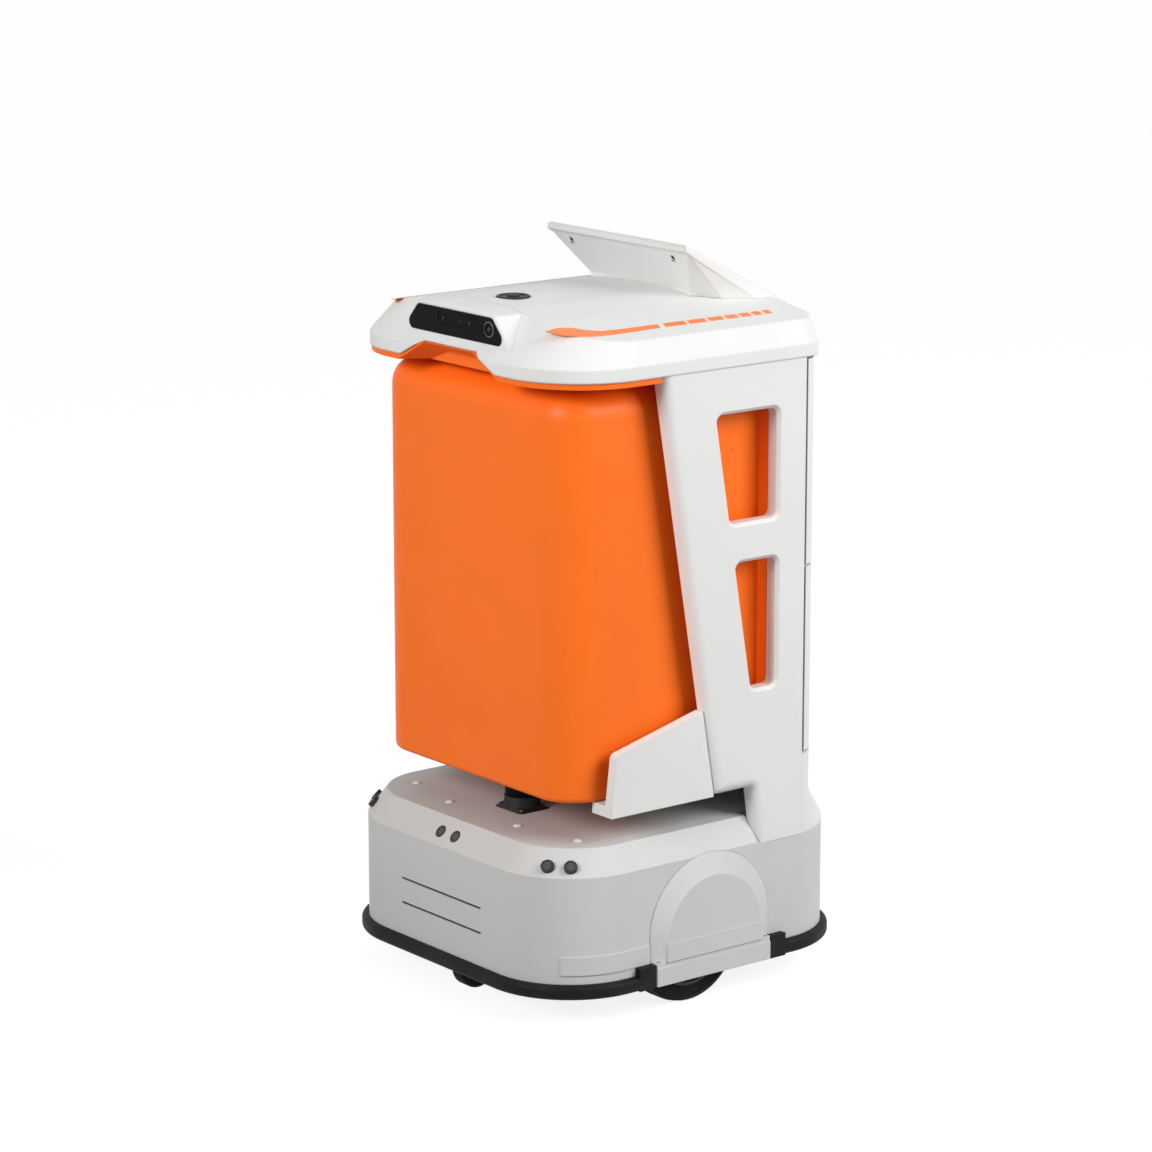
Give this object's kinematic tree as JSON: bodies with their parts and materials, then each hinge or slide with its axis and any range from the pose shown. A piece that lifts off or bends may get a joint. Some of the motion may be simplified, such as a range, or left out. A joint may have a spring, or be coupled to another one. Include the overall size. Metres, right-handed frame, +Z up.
{
  "type": "autonomous mobile robot",
  "caption": "Wheeled delivery robot: driven base with round bumper, slanted side panels holding an orange cargo box with two rear doors, sensor head and tilted rear display.",
  "frame": {"origin": "on the floor under the middle of the base", "axes": "+Z up, -Y to the front, +X to the right as seen from in front"},
  "size_m": [0.5102, 0.534, 0.985],
  "materials": {
    "white_plastic": "fine satin, painted",
    "orange_plastic": "satin",
    "bumper_rubber": "matt",
    "tyre_rubber": "matt",
    "black_plastic": "fine texture",
    "sensor_glass": "gloss, smoked",
    "steel": "powder coat",
    "polished_steel": "ground",
    "aluminium": "satin anodised",
    "display_black": "gloss",
    "button_red": "gloss",
    "contact_metal": "plated"
  },
  "bodies": {
    "frame": {"arch_cover_left": "white_plastic", "arch_cover_right": "white_plastic", "base_shell": "white_plastic", "battery_pack": "black_plastic", "bumper_front": "bumper_rubber", "bumper_rails": "steel", "bumper_rear": "bumper_rubber", "button_collars": "black_plastic", "cargo_shelf": "orange_plastic", "cargo_shell": "orange_plastic", "caster_plates": "steel", "charge_contacts": "contact_metal", "charge_port": "black_plastic", "chassis_plate": "steel", "cradle": "white_plastic", "deck_screw_caps": "white_plastic", "depth_camera": "black_plastic", "display_glass": "sensor_glass", "display_housing": "white_plastic", "display_panel": "display_black", "door_locks": "black_plastic", "drive_brackets": "steel", "drive_controller": "aluminium", "front_camera": "black_plastic", "head_base": "orange_plastic", "head_cover": "white_plastic", "hinge_brackets": "steel", "hinge_pin": "polished_steel", "lidar_housing": "black_plastic", "lidar_window": "sensor_glass", "main_computer": "black_plastic", "pivot_pins": "polished_steel", "rear_lower_cover": "white_plastic", "sensor_window": "sensor_glass", "side_panel_left": "white_plastic", "side_panel_right": "white_plastic", "spring_left": "polished_steel", "spring_right": "polished_steel", "top_camera": "black_plastic", "ultrasonic_sensors": "black_plastic", "uprights": "aluminium"},
    "right_arm": {"suspension_arm_right": "steel", "axle_right": "polished_steel"},
    "left_arm": {"suspension_arm_left": "steel", "axle_left": "polished_steel"},
    "right_wheel": {"hub_right": "aluminium", "tyre_right": "tyre_rubber"},
    "left_wheel": {"hub_left": "aluminium", "tyre_left": "tyre_rubber"},
    "front_fork": {"front_caster_fork": "steel"},
    "rear_fork": {"rear_caster_fork": "steel"},
    "front_roller": {"front_caster_wheel": "tyre_rubber"},
    "rear_roller": {"rear_caster_wheel": "tyre_rubber"},
    "upper_door_body": {"upper_door": "white_plastic", "upper_door_liner": "black_plastic"},
    "lower_door_body": {"lower_door": "white_plastic", "lower_door_liner": "black_plastic"},
    "scanner_rotor": {"lidar_rotor": "black_plastic"},
    "stop_button_body": {"stop_button": "button_red"},
    "power_button_body": {"power_button": "polished_steel"}
  },
  "joints": [
    {"name": "right_suspension", "type": "hinge", "parent": "frame", "child": "right_arm", "pos_m": [0.166, -0.08, 0.104], "axis": [1, 0, 0], "range_deg": [-5, 0], "stiffness_Nm_per_rad": 60, "springref_deg": -5.73, "deforming": ["spring_right"]},
    {"name": "right_wheel_spin", "type": "hinge", "parent": "right_arm", "child": "right_wheel", "pos_m": [0.2065, -0.02, 0.085], "axis": [1, 0, 0], "continuous": true},
    {"name": "left_suspension", "type": "hinge", "parent": "frame", "child": "left_arm", "pos_m": [-0.166, -0.08, 0.104], "axis": [1, 0, 0], "range_deg": [-5, 0], "stiffness_Nm_per_rad": 60, "springref_deg": -5.73, "deforming": ["spring_left"]},
    {"name": "left_wheel_spin", "type": "hinge", "parent": "left_arm", "child": "left_wheel", "pos_m": [-0.2065, -0.02, 0.085], "axis": [1, 0, 0], "continuous": true},
    {"name": "front_caster_swivel", "type": "hinge", "parent": "frame", "child": "front_fork", "pos_m": [0, -0.18, 0.07], "axis": [0, 0, 1], "continuous": true},
    {"name": "front_caster_roll", "type": "hinge", "parent": "front_fork", "child": "front_roller", "pos_m": [0, -0.203, 0.03], "axis": [1, 0, 0], "continuous": true},
    {"name": "rear_caster_swivel", "type": "hinge", "parent": "frame", "child": "rear_fork", "pos_m": [0, 0.18, 0.07], "axis": [0, 0, 1], "continuous": true},
    {"name": "rear_caster_roll", "type": "hinge", "parent": "rear_fork", "child": "rear_roller", "pos_m": [0, 0.157, 0.03], "axis": [1, 0, 0], "continuous": true},
    {"name": "upper_door_hinge", "type": "hinge", "parent": "frame", "child": "upper_door_body", "pos_m": [-0.225, 0.173, 0.7], "axis": [0, 0, 1], "range_deg": [0, 110]},
    {"name": "lower_door_hinge", "type": "hinge", "parent": "frame", "child": "lower_door_body", "pos_m": [-0.225, 0.173, 0.44], "axis": [0, 0, 1], "range_deg": [0, 110]},
    {"name": "scanner_spin", "type": "hinge", "parent": "frame", "child": "scanner_rotor", "pos_m": [0.008, -0.128, 0.263], "axis": [0, 0, 1], "continuous": true},
    {"name": "stop_press", "type": "slide", "parent": "frame", "child": "stop_button_body", "axis": [0, -1, 0], "range_m": [0, 0.004], "stiffness_N_per_m": 600},
    {"name": "power_press", "type": "slide", "parent": "frame", "child": "power_button_body", "axis": [0, -1, 0], "range_m": [0, 0.002], "stiffness_N_per_m": 500}
  ]
}
